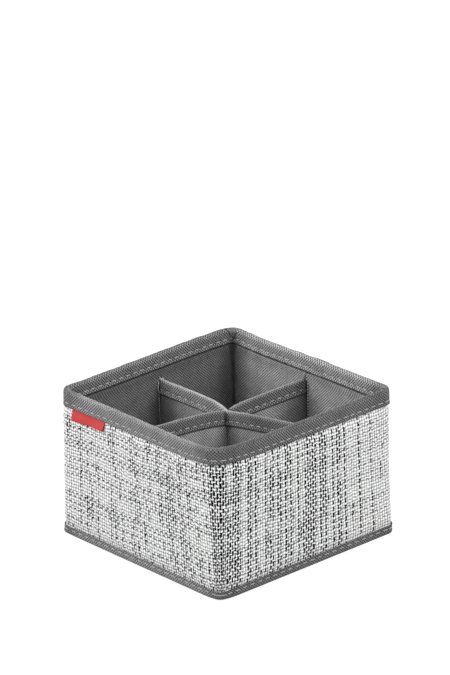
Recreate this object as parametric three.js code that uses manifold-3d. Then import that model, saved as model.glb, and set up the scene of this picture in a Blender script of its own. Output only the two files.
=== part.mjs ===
// A square cloth organizer, 15 x 15 x 10 cm, with a sewn-in cross of dividers.
// Millimetres, +Z up. The origin is the middle of the face it stands on.
// The front wall, with the side label, faces -Y, and the right wall faces +X.

import * as THREE from 'three';
import { mergeVertices } from 'three/addons/utils/BufferGeometryUtils.js';
import Module from 'manifold-3d';

const wasm = await Module();
wasm.setup();

// Driving dimensions: the box
const WIDTH = 150;
const DEPTH = 150;
const HEIGHT = 100;
const RIM_CORNER_RADIUS = 9.4;
const BASE_CORNER_RADIUS = 4.5;

// Driving dimensions: the layers of a wall, from the outside in
const TAPE_THICKNESS = 0.5;
const COVER_THICKNESS = 0.7;
const WALL_BOARD_THICKNESS = 1.2;
const LINING_THICKNESS = 0.4;
const LAYER_GAP = 0.15;

// Driving dimensions: the binding tapes of the box
const RIM_TAPE_OUTER_DROP = 10.2;
const RIM_TAPE_INNER_DROP = 9.3;
const BASE_TAPE_HEIGHT = 6.8;
const BASE_TAPE_UNDER = 8;
const BASE_TAPE_EDGE_RADIUS = 1.2;

// Driving dimensions: the cover swells between its two tapes until it is nearly level with them
const COVER_SWELL = 0.8;
const COVER_SWELL_EASE = 10;

// Driving dimensions: the base
const BASE_BOARD_THICKNESS = 2;

// Driving dimensions: the lining. Below the rim tape its corners ease from round to a tight crease.
const LINING_EASE_HEIGHT = 9;
const SEAM_GAP = 0.3;

// Driving dimensions: the dividers. As sewn, their cross lies a little off the middle of the box.
const LONG_DIVIDER_Y = 9;
const CROSS_DIVIDER_X = -5;
const DIVIDER_BOARD_THICKNESS = 1.2;
const DIVIDER_TAPE_DROP = 9.2;
const DIVIDER_FLOOR_GAP = 0.3;
const DIVIDER_SEAM_ALLOWANCE = 1.5;
const SEWN_GAP = 0.2;

// How far the dividers' tops lie below the lower edge of the rim tape, at the crossing and at each wall
const CROSSING_DROP = 10.7;
const LEFT_DROP = 8;
const REAR_DROP = 5.2;
const RIGHT_DROP = 1.2;
const FRONT_DROP = 2.7;

// How far the seam of the cross pulls each top edge down from a straight line, and how far out that eases
const LEFT_DIP = 4.4;
const REAR_DIP = 2.2;
const RIGHT_DIP = 0.7;
const FRONT_DIP = 3;
const DIP_REACH = 8;

// Driving dimensions: the side label, sewn in under the rim tape of the front wall
const LABEL_THICKNESS = 0.3;
const LABEL_WIDTH = 30.5;
const LABEL_HANG = 6.6;
const LABEL_TUCK = 4;
const LABEL_FROM_LEFT = 15.3;

// Fineness of the rounds and of the dividers' top edges, and the smallest radius that a fold is drawn with
const CORNER_STEPS = 8;
const FOLD_STEPS = 6;
const EDGE_STEPS = 10;
const SWELL_STEPS = 4;
const SHARPEST_FOLD = 0.3;

// The inset of each layer's outer side from the outer face of the box
const LABEL_POCKET = LABEL_THICKNESS + 2 * LAYER_GAP;
const COVER_INSET = TAPE_THICKNESS + LABEL_POCKET;
const BOARD_INSET = COVER_INSET + COVER_THICKNESS + LAYER_GAP;
const LINING_INSET = BOARD_INSET + WALL_BOARD_THICKNESS + LAYER_GAP;
const INNER_TAPE_INSET = LINING_INSET + LINING_THICKNESS + LAYER_GAP;
const RIM_THICKNESS = INNER_TAPE_INSET + TAPE_THICKNESS;

// Heights
const BASE_COVER_BOTTOM = TAPE_THICKNESS + LAYER_GAP;
const BASE_BOARD_BOTTOM = BASE_COVER_BOTTOM + LINING_THICKNESS + LAYER_GAP;
const BASE_LINING_BOTTOM = BASE_BOARD_BOTTOM + BASE_BOARD_THICKNESS + LAYER_GAP;
const FLOOR = BASE_LINING_BOTTOM + LINING_THICKNESS;
const WALL_BOTTOM = FLOOR + LAYER_GAP;
const WALL_TOP = HEIGHT - RIM_THICKNESS / 2;
const OUTER_TAPE_EDGE = HEIGHT - RIM_TAPE_OUTER_DROP;
const INNER_TAPE_EDGE = HEIGHT - RIM_TAPE_INNER_DROP;
const DIVIDER_BOTTOM = FLOOR + DIVIDER_FLOOR_GAP;

// Across a divider: the pocket for its card, its cover, and the half width of its top tape
const DIVIDER_POCKET = DIVIDER_BOARD_THICKNESS + 2 * LAYER_GAP;
const DIVIDER_THICKNESS = DIVIDER_POCKET + 2 * LINING_THICKNESS;
const DIVIDER_TAPE_HALF = DIVIDER_THICKNESS / 2 + LAYER_GAP + TAPE_THICKNESS;

// How far the box's outer face lies from the crossing, towards each wall
const REACH = {
  left: WIDTH / 2 + CROSS_DIVIDER_X,
  right: WIDTH / 2 - CROSS_DIVIDER_X,
  front: DEPTH / 2 + LONG_DIVIDER_Y,
  rear: DEPTH / 2 - LONG_DIVIDER_Y,
};

// The form of the dividers' top edges towards each wall
const TOP_FORMS = {
  left: { drop: LEFT_DROP, dip: LEFT_DIP },
  right: { drop: RIGHT_DROP, dip: RIGHT_DIP },
  front: { drop: FRONT_DROP, dip: FRONT_DIP },
  rear: { drop: REAR_DROP, dip: REAR_DIP },
};

// The walls in the order that a quarter turn leads from one to the next
const TURN_ORDER = ['right', 'rear', 'left', 'front'];

const cloth = (color, roughness) => new THREE.MeshStandardMaterial({ color, roughness, metalness: 0 });
const TWEED = cloth(0xb4b4b5, 0.95);
const LINING_CLOTH = cloth(0x5e5f61, 0.9);
const TAPE_CLOTH = cloth(0x737476, 0.9);
const CARD = cloth(0xa98d68, 0.85);
const LABEL_CLOTH = cloth(0xc0242c, 0.7);

// How far a piece that is drawn towards the right wall turns to face another
function turnTo(side) {
  return TURN_ORDER.indexOf(side) * Math.PI / 2;
}

function piece(name, geometry, material) {
  const mesh = new THREE.Mesh(geometry, material);
  mesh.name = name;
  return mesh;
}

// The corner radius of the box's outer face at a height
function cornerRadius(z) {
  return THREE.MathUtils.lerp(BASE_CORNER_RADIUS, RIM_CORNER_RADIUS, z / HEIGHT);
}

// The outline of a layer at a height, counter-clockwise from above
function outline({ inset, z, radius = cornerRadius(z) - inset }) {
  const round = Math.max(radius, SHARPEST_FOLD);
  const centreX = WIDTH / 2 - inset - round;
  const centreY = DEPTH / 2 - inset - round;
  const points = [];
  [[1, 1], [-1, 1], [-1, -1], [1, -1]].forEach(([signX, signY], corner) => {
    for (let step = 0; step <= CORNER_STEPS; step += 1) {
      const angle = (corner + step / CORNER_STEPS) * Math.PI / 2;
      const x = signX * centreX + round * Math.cos(angle);
      const y = signY * centreY + round * Math.sin(angle);
      points.push(new THREE.Vector3(x, y, z));
    }
  });
  return points;
}

// An arc in a section of the wall: 0 degrees points outwards and 90 degrees up
function arc(inset, z, radius, from, to) {
  const points = [];
  for (let step = 0; step <= FOLD_STEPS; step += 1) {
    const angle = THREE.MathUtils.degToRad(THREE.MathUtils.lerp(from, to, step / FOLD_STEPS));
    points.push({ inset: inset - radius * Math.cos(angle), z: z + radius * Math.sin(angle) });
  }
  return points;
}

// Joins rows of points into a closed skin. With no cap the last row meets the first.
function skin(rows, cap = null) {
  const count = rows[0].length;
  const spans = cap ? rows.length - 1 : rows.length;
  const index = [];
  for (let row = 0; row < spans; row += 1) {
    for (let step = 0; step < count; step += 1) {
      const here = row * count;
      const next = ((row + 1) % rows.length) * count;
      const after = (step + 1) % count;
      index.push(here + step, next + step, next + after);
      index.push(here + step, next + after, here + after);
    }
  }
  const last = (rows.length - 1) * count;
  for (const [a, b, c] of cap ?? []) {
    index.push(a, c, b);
    index.push(last + a, last + b, last + c);
  }
  const geometry = new THREE.BufferGeometry();
  const positions = rows.flat().flatMap((point) => point.toArray());
  geometry.setAttribute('position', new THREE.Float32BufferAttribute(positions, 3));
  geometry.setIndex(index);
  return geometry;
}

// A layer or tape that runs all round the box. Its section goes down the outer side first.
function hoop(section) {
  return skin(section.map(outline));
}

// A flat sheet or board under the whole box
function plate(inset, bottom, thickness) {
  const corners = outline({ inset, z: 0 }).map(({ x, y }) => new THREE.Vector2(x, y));
  const geometry = new THREE.ExtrudeGeometry(new THREE.Shape(corners), {
    depth: thickness,
    bevelEnabled: false,
  });
  return geometry.translate(0, 0, bottom);
}

// A box between two corners
function block(low, high) {
  const size = high.map((value, axis) => value - low[axis]);
  const middle = high.map((value, axis) => (value + low[axis]) / 2);
  return new THREE.BoxGeometry(...size).translate(...middle);
}

// A solid that can be cut, from a closed geometry
function solid(geometry) {
  const bare = geometry.clone();
  bare.deleteAttribute('normal');
  bare.deleteAttribute('uv');
  const merged = mergeVertices(bare);
  return new wasm.Manifold(new wasm.Mesh({
    numProp: 3,
    vertProperties: Float32Array.from(merged.attributes.position.array),
    triVerts: Uint32Array.from(merged.index.array),
  }));
}

// The geometry of a solid after its cuts
function geometryOf(body) {
  const { vertProperties, triVerts } = body.getMesh();
  const geometry = new THREE.BufferGeometry();
  geometry.setAttribute('position', new THREE.Float32BufferAttribute(vertProperties, 3));
  geometry.setIndex(Array.from(triVerts));
  return geometry;
}

// The base: a card between two sheets, with one tape folded round its edge and the walls' lower edge
function base() {
  const edge = BASE_TAPE_EDGE_RADIUS;
  const binding = hoop([
    { inset: 0, z: BASE_TAPE_HEIGHT },
    ...arc(edge, edge, edge, 0, -90),
    { inset: BASE_TAPE_UNDER, z: 0 },
    { inset: BASE_TAPE_UNDER, z: TAPE_THICKNESS },
    ...arc(edge, edge, edge - TAPE_THICKNESS, -90, 0),
    { inset: TAPE_THICKNESS, z: BASE_TAPE_HEIGHT },
  ]);
  const group = new THREE.Group();
  group.add(
    piece('base_binding', binding, TAPE_CLOTH),
    piece('base_cover', plate(COVER_INSET, BASE_COVER_BOTTOM, LINING_THICKNESS), LINING_CLOTH),
    piece('base_board', plate(COVER_INSET, BASE_BOARD_BOTTOM, BASE_BOARD_THICKNESS), CARD),
    piece('base_lining', plate(COVER_INSET, BASE_LINING_BOTTOM, LINING_THICKNESS), LINING_CLOTH),
  );
  return group;
}

// The inset of the cover's outer side at a height. It swells away from both tapes.
function coverInset(z) {
  const fromTape = Math.min(z - BASE_TAPE_HEIGHT, OUTER_TAPE_EDGE - z);
  return COVER_INSET - COVER_SWELL * THREE.MathUtils.smoothstep(fromTape, 0, COVER_SWELL_EASE);
}

// Heights down the cover's swell, from the rim tape to the base tape
function swellHeights() {
  const below = [];
  const above = [];
  for (let step = 0; step <= SWELL_STEPS; step += 1) {
    const eased = COVER_SWELL_EASE * step / SWELL_STEPS;
    below.push(OUTER_TAPE_EDGE - eased);
    above.push(BASE_TAPE_HEIGHT + eased);
  }
  return [...below, ...above.reverse()];
}

// The cover wraps all four walls in one piece
function outerCover() {
  const heights = [WALL_TOP, ...swellHeights(), WALL_BOTTOM];
  const outer = heights.map((z) => ({ inset: coverInset(z), z }));
  const inner = outer.map(({ inset, z }) => ({ inset: inset + COVER_THICKNESS, z }));
  return hoop([...outer, ...inner.reverse()]);
}

// The rim tape is folded over the top of all the layers
function rimBinding() {
  const middle = RIM_THICKNESS / 2;
  return hoop([
    ...arc(middle, WALL_TOP, middle, 180, 0),
    { inset: 0, z: OUTER_TAPE_EDGE },
    { inset: TAPE_THICKNESS, z: OUTER_TAPE_EDGE },
    ...arc(middle, WALL_TOP, middle - TAPE_THICKNESS, 0, 180),
    { inset: INNER_TAPE_INSET, z: INNER_TAPE_EDGE },
    { inset: RIM_THICKNESS, z: INNER_TAPE_EDGE },
  ]);
}

// The four wall boards are flat cards that stop short of the corners
function wallBoards() {
  const corner = Math.max(RIM_CORNER_RADIUS, BASE_CORNER_RADIUS);
  const walls = [
    { name: 'front_wall_board', turn: 0, span: WIDTH, distance: DEPTH / 2 },
    { name: 'right_wall_board', turn: 1, span: DEPTH, distance: WIDTH / 2 },
    { name: 'rear_wall_board', turn: 2, span: WIDTH, distance: DEPTH / 2 },
    { name: 'left_wall_board', turn: 3, span: DEPTH, distance: WIDTH / 2 },
  ];
  const group = new THREE.Group();
  for (const { name, turn, span, distance } of walls) {
    const half = span / 2 - corner;
    const face = distance - BOARD_INSET;
    const card = block(
      [-half, -face, WALL_BOTTOM],
      [half, -face + WALL_BOARD_THICKNESS, WALL_TOP],
    );
    const board = piece(name, card, CARD);
    board.rotation.z = turn * Math.PI / 2;
    group.add(board);
  }
  return group;
}

// The radius of the lining's outer side. The crease is as tight as the room behind it allows.
function liningRadius(z, creased) {
  const tighter = creased ? (WALL_BOARD_THICKNESS + LAYER_GAP) / (Math.SQRT2 - 1) : 0;
  const radius = cornerRadius(z) - LINING_INSET - tighter;
  return Math.max(radius, SHARPEST_FOLD + LINING_THICKNESS);
}

// The lining all round, before it is parted at its seams
function liningHoop() {
  const levels = [
    { z: WALL_TOP, creased: false },
    { z: INNER_TAPE_EDGE, creased: false },
    { z: INNER_TAPE_EDGE - LINING_EASE_HEIGHT, creased: true },
    { z: WALL_BOTTOM, creased: true },
  ];
  const outer = levels.map(({ z, creased }) => (
    { inset: LINING_INSET, z, radius: liningRadius(z, creased) }
  ));
  const inner = outer.map(({ inset, z, radius }) => (
    { inset: inset + LINING_THICKNESS, z, radius: radius - LINING_THICKNESS }
  ));
  return hoop([...outer, ...inner.reverse()]);
}

// The height of a divider's top edge, at a distance from the crossing towards a wall
function dividerTop(side, distance) {
  const { drop, dip } = TOP_FORMS[side];
  const atCrossing = INNER_TAPE_EDGE - CROSSING_DROP + dip;
  const atWall = INNER_TAPE_EDGE - drop;
  const straight = THREE.MathUtils.lerp(atCrossing, atWall, distance / REACH[side]);
  return straight - dip * Math.exp(-distance / DIP_REACH);
}

// The slot that a divider's end needs in the lining, towards a wall
function seamSlot(side) {
  const half = DIVIDER_THICKNESS / 2 + SEWN_GAP;
  const near = REACH[side] - RIM_THICKNESS;
  const far = REACH[side];
  const coverTop = Math.max(dividerTop(side, near), dividerTop(side, far)) - DIVIDER_TAPE_HALF;
  return block([near, -half, 0], [far, half, coverTop + SEWN_GAP])
    .rotateZ(turnTo(side))
    .translate(CROSS_DIVIDER_X, LONG_DIVIDER_Y, 0);
}

// The four lining panels, each round one corner, parted at the seams that hold the dividers
function liningPanels() {
  const slots = Object.keys(REACH).map((side) => solid(seamSlot(side)));
  const whole = slots.reduce((body, slot) => body.subtract(slot), solid(liningHoop()));
  const group = new THREE.Group();
  for (const [sideY, signY] of [['front', -1], ['rear', 1]]) {
    for (const [sideX, signX] of [['left', -1], ['right', 1]]) {
      const width = REACH[sideX] - SEAM_GAP / 2;
      const depth = REACH[sideY] - SEAM_GAP / 2;
      const quarter = new THREE.BoxGeometry(width, depth, HEIGHT).translate(
        CROSS_DIVIDER_X + signX * (SEAM_GAP + width) / 2,
        LONG_DIVIDER_Y + signY * (SEAM_GAP + depth) / 2,
        HEIGHT / 2,
      );
      const panel = geometryOf(whole.intersect(solid(quarter)));
      group.add(piece(`${sideY}_${sideX}_lining`, panel, LINING_CLOTH));
    }
  }
  return group;
}

// The dividers. Each is drawn along its own X axis, ahead of the crossing, and the long one behind too.
const DIVIDERS = [
  { name: 'long', ahead: 'right', behind: 'left' },
  { name: 'rear', ahead: 'rear' },
  { name: 'front', ahead: 'front' },
];

// Places from one to another, closest together beside the crossing
function placesBetween(near, far) {
  const places = [];
  for (let step = 0; step <= EDGE_STEPS; step += 1) {
    places.push(THREE.MathUtils.lerp(near, far, (step / EDGE_STEPS) ** 2));
  }
  return places;
}

// The top edge of a piece of a divider, as points of place and height, lowered by some amount
function topEdge({ ahead, behind }, start, end, lowered) {
  const aheadPlaces = placesBetween(Math.max(start, 0), end);
  const behindPlaces = start < 0 ? placesBetween(0, start).slice(1).reverse() : [];
  return [...behindPlaces, ...aheadPlaces].map((place) => {
    const height = place < 0 ? dividerTop(behind, -place) : dividerTop(ahead, place);
    return new THREE.Vector2(place, height - lowered);
  });
}

// Where a piece of a divider starts: short of the wall behind, or beside the long divider
function startOf({ behind }, wallInset, besideLong) {
  return behind ? wallInset - REACH[behind] : besideLong;
}

// A flat slab below a top edge, centred on the divider's line
function slab(edge, bottom, thickness) {
  const corners = [
    ...edge,
    new THREE.Vector2(edge.at(-1).x, bottom),
    new THREE.Vector2(edge[0].x, bottom),
  ];
  const geometry = new THREE.ExtrudeGeometry(new THREE.Shape(corners), {
    depth: thickness,
    bevelEnabled: false,
  });
  return geometry.rotateX(Math.PI / 2).translate(0, thickness / 2, 0);
}

// The cover is one sheet folded under the card and closed at both ends. Its ends at the walls lie
// in the lining's seams, and a half divider's is notched round the long divider's tape.
function dividerCover(side, start, end) {
  const pocketBottom = DIVIDER_BOTTOM + LINING_THICKNESS;
  const outside = slab(topEdge(side, start, end, DIVIDER_TAPE_HALF), DIVIDER_BOTTOM, DIVIDER_THICKNESS);
  const pocket = slab(
    topEdge(side, start + DIVIDER_SEAM_ALLOWANCE, end - DIVIDER_SEAM_ALLOWANCE, 0),
    pocketBottom,
    DIVIDER_POCKET,
  );
  const folded = solid(outside).subtract(solid(pocket));
  if (side.behind) return geometryOf(folded);
  const crossingTop = dividerTop(side.ahead, 0);
  const notch = block(
    [0, -DIVIDER_THICKNESS, crossingTop - DIVIDER_TAPE_DROP - SEWN_GAP],
    [DIVIDER_TAPE_HALF + SEWN_GAP, DIVIDER_THICKNESS, HEIGHT],
  );
  return geometryOf(folded.subtract(solid(notch)));
}

// The card stands in the cover's pocket
function dividerBoard(side, start, end) {
  const short = DIVIDER_SEAM_ALLOWANCE + LAYER_GAP;
  const edge = topEdge(side, start + short, end - short, DIVIDER_TAPE_HALF);
  return slab(edge, DIVIDER_BOTTOM + LINING_THICKNESS + LAYER_GAP, DIVIDER_BOARD_THICKNESS);
}

// The tape is folded over the top edge of the cover
function dividerBinding(edge) {
  const outer = DIVIDER_TAPE_HALF;
  const inner = outer - TAPE_THICKNESS;
  const section = [
    ...arc(0, -outer, outer, 180, 0),
    { inset: -outer, z: -DIVIDER_TAPE_DROP },
    { inset: -inner, z: -DIVIDER_TAPE_DROP },
    ...arc(0, -outer, inner, 0, 180),
    { inset: inner, z: -DIVIDER_TAPE_DROP },
    { inset: outer, z: -DIVIDER_TAPE_DROP },
  ].map(({ inset, z }) => new THREE.Vector2(-inset, z));
  const rows = edge.map(({ x: place, y: height }) => (
    section.map(({ x: across, y: up }) => new THREE.Vector3(place, across, height + up))
  ));
  return skin(rows, THREE.ShapeUtils.triangulateShape(section, []));
}

// The cross of dividers, one long and two half ones
function dividers() {
  const cross = new THREE.Group();
  cross.position.set(CROSS_DIVIDER_X, LONG_DIVIDER_Y, 0);
  for (const side of DIVIDERS) {
    const reach = REACH[side.ahead];
    const start = startOf(side, LINING_INSET, DIVIDER_THICKNESS / 2 + SEWN_GAP);
    const end = reach - LINING_INSET;
    const tapeInset = LINING_INSET + LINING_THICKNESS + SEWN_GAP;
    const tapeStart = startOf(side, tapeInset, DIVIDER_TAPE_HALF + SEWN_GAP);
    const tapeEdge = topEdge(side, tapeStart, reach - tapeInset, 0);
    const group = new THREE.Group();
    group.rotation.z = turnTo(side.ahead);
    group.add(
      piece(`${side.name}_divider_board`, dividerBoard(side, start, end), CARD),
      piece(`${side.name}_divider_cover`, dividerCover(side, start, end), LINING_CLOTH),
      piece(`${side.name}_divider_binding`, dividerBinding(tapeEdge), TAPE_CLOTH),
    );
    cross.add(group);
  }
  return cross;
}

// The side label hangs from under the rim tape, and lies on the swell of the cover's front
function sideLabel() {
  const heights = [
    OUTER_TAPE_EDGE + LABEL_TUCK,
    ...swellHeights().filter((z) => z > OUTER_TAPE_EDGE - LABEL_HANG),
    OUTER_TAPE_EDGE - LABEL_HANG,
  ];
  const back = heights.map((z) => new THREE.Vector2(coverInset(z) - LAYER_GAP - DEPTH / 2, z));
  const front = back.map(({ x, y }) => new THREE.Vector2(x - LABEL_THICKNESS, y));
  const tab = new THREE.ExtrudeGeometry(new THREE.Shape([...back, ...front.reverse()]), {
    depth: LABEL_WIDTH,
    bevelEnabled: false,
  });
  tab.rotateX(Math.PI / 2).rotateZ(Math.PI / 2).translate(LABEL_FROM_LEFT - WIDTH / 2, 0, 0);
  return piece('side_label', tab, LABEL_CLOTH);
}

const organizer = new THREE.Group();
organizer.add(
  base(),
  piece('outer_cover', outerCover(), TWEED),
  wallBoards(),
  liningPanels(),
  piece('rim_binding', rimBinding(), TAPE_CLOTH),
  dividers(),
  sideLabel(),
);

export default organizer;
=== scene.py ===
"""The looks of a square cloth organizer: woven tweed walls, embossed non-woven lining and tapes, and a
sewn-in cross of dividers. Sizes are in millimetres until a mesh is made."""

import functools
import math

import bpy
import numpy as np
from mathutils import Matrix


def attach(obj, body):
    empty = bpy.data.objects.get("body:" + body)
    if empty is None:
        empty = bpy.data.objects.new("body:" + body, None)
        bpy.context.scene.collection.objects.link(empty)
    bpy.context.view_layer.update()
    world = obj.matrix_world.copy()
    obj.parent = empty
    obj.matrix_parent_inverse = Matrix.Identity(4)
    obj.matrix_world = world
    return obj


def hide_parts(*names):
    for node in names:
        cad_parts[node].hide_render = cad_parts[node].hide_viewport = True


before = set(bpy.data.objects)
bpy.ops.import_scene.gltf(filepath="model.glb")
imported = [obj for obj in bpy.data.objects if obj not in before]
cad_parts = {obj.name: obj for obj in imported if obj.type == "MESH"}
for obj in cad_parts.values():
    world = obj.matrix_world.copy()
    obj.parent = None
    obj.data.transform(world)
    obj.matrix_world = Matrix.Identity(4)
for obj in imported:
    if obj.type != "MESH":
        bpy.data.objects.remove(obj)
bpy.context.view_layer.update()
MM = 0.001

# The box, as the CAD model has it
HALF = 75.0
HEIGHT = 100.0
RIM_CORNER = 9.4
BASE_CORNER = 4.5
WALL_TOP = 97.825
WALL_BOTTOM = 3.9
WALLS = ("front", "right", "rear", "left")
NEXT_WALLS = WALLS[1:] + WALLS[:1]

# The layers: the insets of their outer sides from the outer face, their thicknesses and their edges
COVER_INSET = 1.1
COVER_THICK = 0.7
BOARD_INSET = 1.95
BOARD_THICK = 1.2
LINING_INSET = 3.3
LINING_THICK = 0.4
TAPE_THICK = 0.5
RIM_THICK = 4.35
OUTER_TAPE_EDGE = 89.8
INNER_TAPE_EDGE = 90.7
BASE_TAPE_HEIGHT = 6.8
BASE_TAPE_UNDER = 8.0
BASE_TAPE_ROUND = 1.2

# The way round the box, in mm of the middle height's outline: each side is a straight run and a corner.
# HOOP is where a tape's columns lie, from the back corner on.
STRAIGHT_RUN = 133.0
CORNER_RUN = 13.35
SIDE_RUN = STRAIGHT_RUN + CORNER_RUN
ROUND = 4 * SIDE_RUN
BACK_CORNER = 3 * SIDE_RUN - CORNER_RUN / 2
HOOP = BACK_CORNER - ROUND + np.arange(976) * ROUND / 976

# The tweed, with a whole number of warps all round. A yarn's half width is in parts of its pitch. The weave
# is modelled in a few steps for each yarn, and goes on a little way under the tapes.
WARP_PITCH = ROUND / 286
WEFT_PITCH = 2.2
WARP_HALF = 0.44
WEFT_HALF = 0.34
YARN_STEPS = 5
WOVEN_UNDER_TAPE = 1.4

# The tweed's map counts yarns, and its material lifts the count well above 0, where a remainder is never
# negative. The front corner lies at this warp of it.
MAP_LIFT = 1000.0
FRONT_CORNER = MAP_LIFT + 68

# The non-woven's emboss is a lattice of diamonds. These are their widths, a whole number of them all round.
LINING_DIAMOND = ROUND / 300
TAPE_DIAMOND = ROUND / 280

# The felt's map is in mm. A hoop of tape starts at this place in it, and the rim's fold lies at the other.
TAPE_MAP = 4.0
RIM_FOLD = 14.6

# Stitches of the tapes
STITCH_PITCH = 6.0
STITCH_LENGTH = 4.2
STITCH_THICK = 0.5
STITCH_FROM_EDGE = 2.6
STITCH_SINK = 0.12

# How far each corner stands out along its diagonal at the rim, halfway up and at the foot, and how far its
# rim and its foot are lifted
CORNERS = {
    (1, -1): (-2.4, -0.3, -0.8, 1.1, 0.8),
    (1, 1): (0.8, -0.6, 0.0, 0.0, 0.0),
    (-1, -1): (0.4, 0.2, 0.8, 0.0, 0.8),
    (-1, 1): (0.0, 0.0, 0.0, 0.0, 0.0),
}

# The dividers' plan, and how each wing's top climbs from the crossing to its wall
CROSSING = (-7.0, 7.3)
CROSSING_TOP = 80.0
WINGS = {
    "left": {"end": (-71.2, 7.9), "rise": 4.4, "within": 0.12, "climb": -1.8},
    "right": {"end": (71.2, 13.8), "rise": 0.7, "within": 0.10, "climb": 9.0},
    "rear": {"end": (-1.8, 71.2), "rise": 2.2, "within": 0.10, "climb": 3.2},
    "front": {"end": (-8.0, -71.2), "rise": 3.0, "within": 0.15, "climb": 5.5},
}
DIVIDER_BOTTOM = 4.05
DIVIDER_HALF = 1.15
DIVIDER_COVER_DROP = 1.6
DIVIDER_TAPE_HALF = 1.75
DIVIDER_TAPE_DROP = 9.2
DIVIDER_CARD_DROP = 1.8
CARD_STRIPS = 36
CUT_EDGE = 0.15

# Where along the felt's map a divider's cover and its tape start, which gives them the painted shade of a
# wall or a corner
MAP_STARTS = {"long": (-8.0, 55.0), "rear": (85.0, 165.0), "front": (85.0, 165.0)}
DIVIDER_SEEDS = {"long": 41, "rear": 44, "front": 47}

# The label's edges, from the front wall's middle and from the floor
LABEL_LEFT = -61.2
LABEL_RIGHT = -30.4
LABEL_TOP = 94.0
LABEL_BOTTOM = 82.0


# The shape of the box


def waves(along, up, longest, seed, count=7):
    """Smooth irregular waves, about -1 to 1, that close on themselves round the box."""
    rng = np.random.default_rng(seed)
    total = np.zeros(np.broadcast(along, up).shape)
    for _ in range(count):
        turns = max(1, round(ROUND / longest * rng.uniform(0.6, 2.2)))
        climb = rng.uniform(-1, 1) * 2 * math.pi / longest
        phase = rng.uniform(0, 2 * math.pi)
        total = total + np.sin(2 * math.pi * turns * along / ROUND + climb * up + phase)
    return total / math.sqrt(2 * count)


def ripples(along, up, *layers):
    """Waves laid over one another. Each layer has its height, its longest wave and its seed."""
    return sum(height * waves(along, up, longest, seed) for height, longest, seed in layers)


def bump(value, middle, width):
    """1 at the middle, falling to 0 on both sides."""
    return np.exp(-(((value - middle) / width) ** 2))


def ease(value, start, end):
    """0 before the start and 1 after the end, smooth between."""
    part = np.clip((value - start) / (end - start), 0, 1)
    return part * part * (3 - 2 * part)


def unit(vectors):
    """Vectors of the same direction, each 1 long."""
    return vectors / np.linalg.norm(vectors, axis=-1, keepdims=True)


def turned(x, y, up, side):
    """Places as seen from the front wall, turned to another side of the box."""
    angle = side * math.pi / 2
    return np.stack([x * np.cos(angle) - y * np.sin(angle), x * np.sin(angle) + y * np.cos(angle), up], -1)


def corner_radius(up):
    """The outer face's corner radius, which grows from the foot to the rim."""
    return BASE_CORNER + (RIM_CORNER - BASE_CORNER) * np.clip(up, 0, HEIGHT) / HEIGHT


def around(along, inset, up, radius=None):
    """Places on a layer: so far round the box from the front wall's left end, anticlockwise from above."""
    along, inset, up = np.broadcast_arrays(along, inset, up)
    if radius is None:
        radius = corner_radius(up) - inset
    side = np.floor(along / SIDE_RUN)
    run = along - side * SIDE_RUN
    middle = HALF - inset - radius
    turn = np.clip(run - STRAIGHT_RUN, 0, CORNER_RUN) / CORNER_RUN * math.pi / 2
    x = (np.minimum(run, STRAIGHT_RUN) / STRAIGHT_RUN * 2 - 1) * middle + radius * np.sin(turn)
    return turned(x, -middle - radius * np.cos(turn), up, side)


def settle(places):
    """The small unevenness of a sewn box: its walls bow and its rim rises and dips a little."""
    x, y, z = np.moveaxis(places, -1, 0)
    high = ease(z, 8, HEIGHT)
    out_x = 0.5 * np.sin(2.3 * y / HALF + 0.9) * high
    out_y = 0.45 * np.sin(2.6 * x / HALF - 0.5) * high
    left = ease(-x, 55, HALF)
    rear = ease(y, 55, HALF)
    lift = 0.4 * bump(y, 40, 30) * left - 0.7 * bump(x, -45, 28) * rear
    moved_x, moved_y, moved_z = x + out_x * x / HALF, y + out_y * y / HALF, z + lift * high
    for (east, north), (rim, middle, foot, rim_up, foot_up) in CORNERS.items():
        apart = np.hypot(x - east * HALF, y - north * HALF)
        at_rim = bump(apart, 0, 17) * ease(z, 45, 95)
        between = bump(apart, 0, 17) * ease(z, 4, 25) * (1 - ease(z, 80, 92))
        at_foot = bump(apart, 0, 8) * (1 - ease(z, 2, 9))
        out = (rim * at_rim + middle * between + foot * at_foot) * math.sqrt(0.5)
        moved_x = moved_x + out * east
        moved_y = moved_y + out * north
        moved_z = moved_z + rim_up * at_rim + foot_up * bump(apart, 0, 8) * (1 - ease(z, 0, 4))
    return np.stack([moved_x, moved_y, moved_z], -1)


def new_piece(name, places, polygons):
    """A smooth mesh of places in mm, as an object of its own."""
    mesh = bpy.data.meshes.new(name)
    mesh.from_pydata((places.reshape(-1, 3) * MM).tolist(), [], polygons)
    mesh.shade_smooth()
    piece = bpy.data.objects.new(name, mesh)
    bpy.context.collection.objects.link(piece)
    return piece


def shell(name, face, back, uv, uv_back, closed=False):
    """A sheet with two sides. face and back are rows of places, and the rows run along the cloth."""
    rings = np.concatenate([face, back])
    marks = np.concatenate([uv, uv_back])
    count, across = rings.shape[:2]
    index = np.arange(count * across).reshape(count, across)
    last = across if closed else across - 1
    turns = ((0, 0), (-1, 0), (-1, -1), (0, -1))
    faces, corners = (
        np.stack([np.roll(grid, turn, (0, 1))[:, :last] for turn in turns], 2) for grid in (index, marks)
    )
    polygons = faces.reshape(-1, 4).tolist()
    ends = []
    if closed:
        corners[:, -1, 2:, 0] += ROUND
    else:
        polygons += [index[::-1, 0].tolist(), index[:, -1].tolist()]
        ends = [marks[::-1, 0], marks[:, -1]]
    corners = np.concatenate([corners.reshape(-1, 2), *ends])
    piece = new_piece(name, settle(rings), polygons)
    layer = piece.data.uv_layers.new(name="cloth_mm")
    layer.data.foreach_set("uv", corners.astype(np.float32).ravel())
    return piece


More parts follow.
